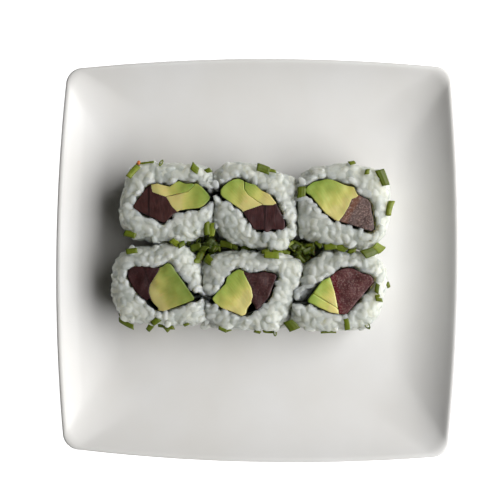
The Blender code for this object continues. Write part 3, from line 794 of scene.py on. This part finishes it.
# One cut of stalk along X: a whole tube, a short ring stood on its end, or a tube split open
def chiveShape(kind, length, width, pick):
    look = chiveLook
    sides = look["sides"]
    opened = kind == "split"
    sweep = math.pi * (0.95 if opened else 2)
    height = width * (0.30 if opened else pick.uniform(0.45, 0.7))
    steps = max(2, round(length / 0.9))
    bm = bmesh.new()
    ring = []
    for k in range(sides + (1 if opened else 0)):
        angle = math.pi / 2 - sweep / 2 + sweep * k / sides
        rib = 1 + look["ribDepth"] * math.cos(angle * look["ribs"] * 2)
        ring.append(bm.verts.new((0, width / 2 * math.cos(angle) * rib, height / 2 * math.sin(angle) * rib)))
    edges = [bm.edges.new((ring[k - 1], ring[k])) for k in range(1 if opened else 0, len(ring))]
    slant = pick.uniform(-0.8, 0.8)
    for step in range(steps):
        grown = bmesh.ops.extrude_edge_only(bm, edges=edges)["geom"]
        edges = [g for g in grown if isinstance(g, bmesh.types.BMEdge)]
        bmesh.ops.translate(bm, verts=[g for g in grown if isinstance(g, bmesh.types.BMVert)],
                            vec=(length / steps, 0, 0))
    bow, aside, narrower = pick.uniform(-0.03, 0.05), pick.uniform(-0.07, 0.07), pick.uniform(-0.25, 0.25)
    for vert in bm.verts:
        x = vert.co.x - length / 2
        bulge = (length * length / 4 - x * x) / max(1, length / 3)
        vert.co.x = x + slant * vert.co.y * (0.5 if abs(x) > length * 0.4 else 0.2)
        vert.co.y = vert.co.y * (1 + narrower * x / length) + aside * bulge
        vert.co.z += bow * bulge
    bmesh.ops.recalc_face_normals(bm, faces=bm.faces)
    bmesh.ops.solidify(bm, geom=bm.faces, thickness=look["skin"])
    bmesh.ops.recalc_face_normals(bm, faces=bm.faces)
    bmesh.ops.scale(bm, verts=bm.verts, vec=(mm, mm, mm))
    return inOrder(*arraysOf(bm))


# Follows the camera's line of sight through a place on the reading plane to the first grain
def seenSpot(x, y, surfaces):
    eye = Vector(view["place"]) * mm
    aim = (Vector((x, y, view["readAt"])) * mm - eye).normalized()
    hits = [tree.ray_cast(eye, aim) for tree in surfaces]
    hits = [h for h in hits if h[0] is not None]
    return min(hits, key=lambda h: h[3])[:2] if hits else (None, None)


# A cut of chive set down at a place, lying along its heading
def setDown(kind, length, width, heading, spot, up, pick):
    along = Matrix.Rotation(math.radians(heading), 3, "Z") @ Vector((1, 0, 0))
    along = (along - up * along.dot(up)).normalized()
    turn = np.array(Matrix((along, up.cross(along), up)).transposed())
    points, faces = chiveShape(kind, length, width, pick)
    if kind == "ring":
        stand = Matrix.Rotation(math.radians(pick.uniform(76, 86)), 3, "Y")
        points = points @ np.array(stand).T
    return points @ turn.T + np.array(spot), faces


# Moves a cut that touches nothing yet to what is nearest to one point in eight of it, and a little in
def settled(points, faces, held):
    own = BVHTree.FromPolygons([Vector(p) for p in points], faces)
    if not any(tree.overlap(own) for tree in held):
        nearest = [(tree.find_nearest(Vector(p)), p) for tree in held for p in points[::8]]
        (touched, _, _, far), spot = min(nearest, key=lambda n: n[0][3])
        points = points + (np.array(touched) - spot) * (1 + chiveLook["sunk"] * mm / far)
        own = BVHTree.FromPolygons([Vector(p) for p in points], faces)
    held.append(own)
    return points, faces


# Cuts that fell into the crevice between the rows, held between the rice on both sides
def tuckedCuts(trees, pick):
    look = chiveLook
    parts = []
    for step in range(look["tucked"]):
        x = (-62 + 124 * (step + pick.random()) / look["tucked"]) * mm
        height = pick.uniform(*look["tuckedZ"]) * mm
        rows = [Vector((x, y * mm, height)) for y in np.arange(-4, 14, 0.5)]
        spot = max(rows, key=lambda p: min(tree.find_nearest(p)[3] for tree in trees))
        up = Vector((pick.uniform(-0.7, 0.7), pick.uniform(-0.7, 0.7), 1)).normalized()
        length, width = pick.uniform(3, 6), pick.uniform(2.4, 3.6)
        parts.append(setDown(pick.choice(("tube", "split", "split")), length, width, pick.uniform(-50, 50),
                             spot, up, pick))
    low, high = look["heapZ"]
    for x, y, reach, count in look["heaps"]:
        for step in range(count):
            away, turn = reach * math.sqrt(pick.random()), pick.uniform(0, 2 * math.pi)
            height = low + (high - low) * step / count
            spot = Vector((x + away * math.cos(turn), y + away * math.sin(turn), height))
            up = Vector((pick.uniform(-0.6, 0.6), pick.uniform(-0.6, 0.6), 1)).normalized()
            parts.append(setDown(pick.choice(("tube", "split")), pick.uniform(3, 5.5), pick.uniform(2.4, 3.4),
                                 pick.uniform(0, 180), spot * mm, up, pick))
    return parts


def makeChives(surfaces):
    look = chiveLook
    material = choppedChive()
    pick = random.Random(look["seed"])
    held = [*surfaces.values(), surfaceOf(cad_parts["dish"].data)]
    for group, cuts in chiveCuts.items():
        parts = []
        trees = list(surfaces.values()) if group == "between" else [surfaces[group]]
        for x, y, heading, length, width, kind, *height in cuts:
            spot, normal = seenSpot(x, y, trees)
            eye = Vector(view["place"]) * mm
            aim = Vector((x, y, view["readAt"])) * mm - eye
            if height:
                spot, normal = eye + aim * ((height[0] * mm - eye.z) / aim.z), Vector((0, 0, 1))
            elif spot is None or spot.z < look["hanging"][1] * mm:
                rows = [eye + aim * ((z * mm - eye.z) / aim.z) for z in np.arange(*look["hanging"])]
                spot = min(rows, key=lambda p: min(tree.find_nearest(p)[3] for tree in trees))
                touched, normal, _, far = min((tree.find_nearest(spot) for tree in trees), key=lambda n: n[3])
                spot = touched + (spot - touched).normalized() * min(far, length * 0.4 * mm)
            up = (normal + Vector((0, 0, 1.6))).normalized()
            spot = spot + up * (look["lift"] + width * 0.12) * mm
            parts.append(settled(*setDown(kind, length, width, heading, spot, up, pick), held))
        tints = [pick.uniform(0.25, 0.65) for _ in parts]
        addPiece("chives_" + group, joinedMesh("chives", parts, tints), material)
    parts = [settled(*part, held) for part in tuckedCuts(list(surfaces.values()), pick)]
    # painted shade: cuts in the crevice and on the dish between the pieces get only the darker tints
    tints = [pick.uniform(0, 0.3) for _ in parts]
    addPiece("chives_tucked", joinedMesh("chives", parts, tints), material)
    print("chives done")
    return held


# A crumb of carrot at the end of the thinnest chive
crumbLook = {"place": (-57.1, 47.5, 29), "across": 2.0, "rough": 0.35}   # mm


def makeCrumb(held):
    look = crumbLook
    material, shader = newMaterial("carrotFlesh", Roughness=0.4, Base_Color=linear("#C9763A"),
                                   Subsurface_Weight=0.2, Subsurface_Scale=0.8 * mm)
    bm = bmesh.new()
    bmesh.ops.create_icosphere(bm, subdivisions=3, radius=look["across"] / 2 * mm)
    for vert in bm.verts:
        vert.co *= 1 + noise.noise(vert.co / (0.6 * mm)) * look["rough"]
    bmesh.ops.translate(bm, verts=bm.verts, vec=Vector(look["place"]) * mm)
    crumb = settled(*arraysOf(bm), held)
    addPiece("carrotCrumb", joinedMesh("carrotCrumb", [crumb], [0]), material)


# Studio

lightLook = {
    "window": {"place": (0.996, 0.02, 0.836), "size": (1.9, 0.95), "power": 33.5},
}


def makeStudio():
    scene = bpy.context.scene
    scene.view_settings.view_transform = "Standard"
    world = bpy.data.worlds.new("studio")
    world.use_nodes = True
    world.node_tree.nodes["Background"].inputs["Color"].default_value = linear("#F8EEDC")
    world.node_tree.nodes["Background"].inputs["Strength"].default_value = 0.015
    scene.world = world
    for name, look in lightLook.items():
        data = bpy.data.lights.new(name, "AREA")
        data.shape = "RECTANGLE"
        data.size, data.size_y = look["size"]
        data.energy = look["power"]
        lamp = bpy.data.objects.new(name, data)
        lamp.location = look["place"]
        lamp.rotation_euler = (-lamp.location).to_track_quat("-Z", "Y").to_euler()
        scene.collection.objects.link(lamp)
    material, shader = newMaterial("paperFloor", Roughness=0.9, Base_Color=linear("#F7F7F7"),
                                   Emission_Color=linear("#FFFFFF"), Emission_Strength=0.9)
    bm = bmesh.new()
    bmesh.ops.create_grid(bm, x_segments=1, y_segments=1, size=1.5)
    mesh = meshFrom(bm, "floor")
    mesh.materials.append(material)
    floor = bpy.data.objects.new("floor", mesh)
    scene.collection.objects.link(floor)
    print("studio done")


def main():
    makeCamera()
    makeDish()
    materials = {"rice": cookedRice(), "nori": roastedNori()}
    pick = random.Random(riceLook["seed"])
    shapes = [grainShape(pick) for _ in range(riceLook["shapes"])]
    surfaces = {}
    for place in places:
        nori = makeNori(place, materials["nori"])
        surfaces[place] = makeRice(place, nori, materials, shapes)
        makeFilling("tuna_" + place, rawTuna(place, *tunaTurns[place]), "tuna")
    for place, ends in avocadoTurns.items():
        makeFilling("avocado_" + place, avocadoFlesh(place, *ends), "avocado")
    print("fillings done")
    makeCrumb(makeChives(surfaces))
    makeStudio()


main()
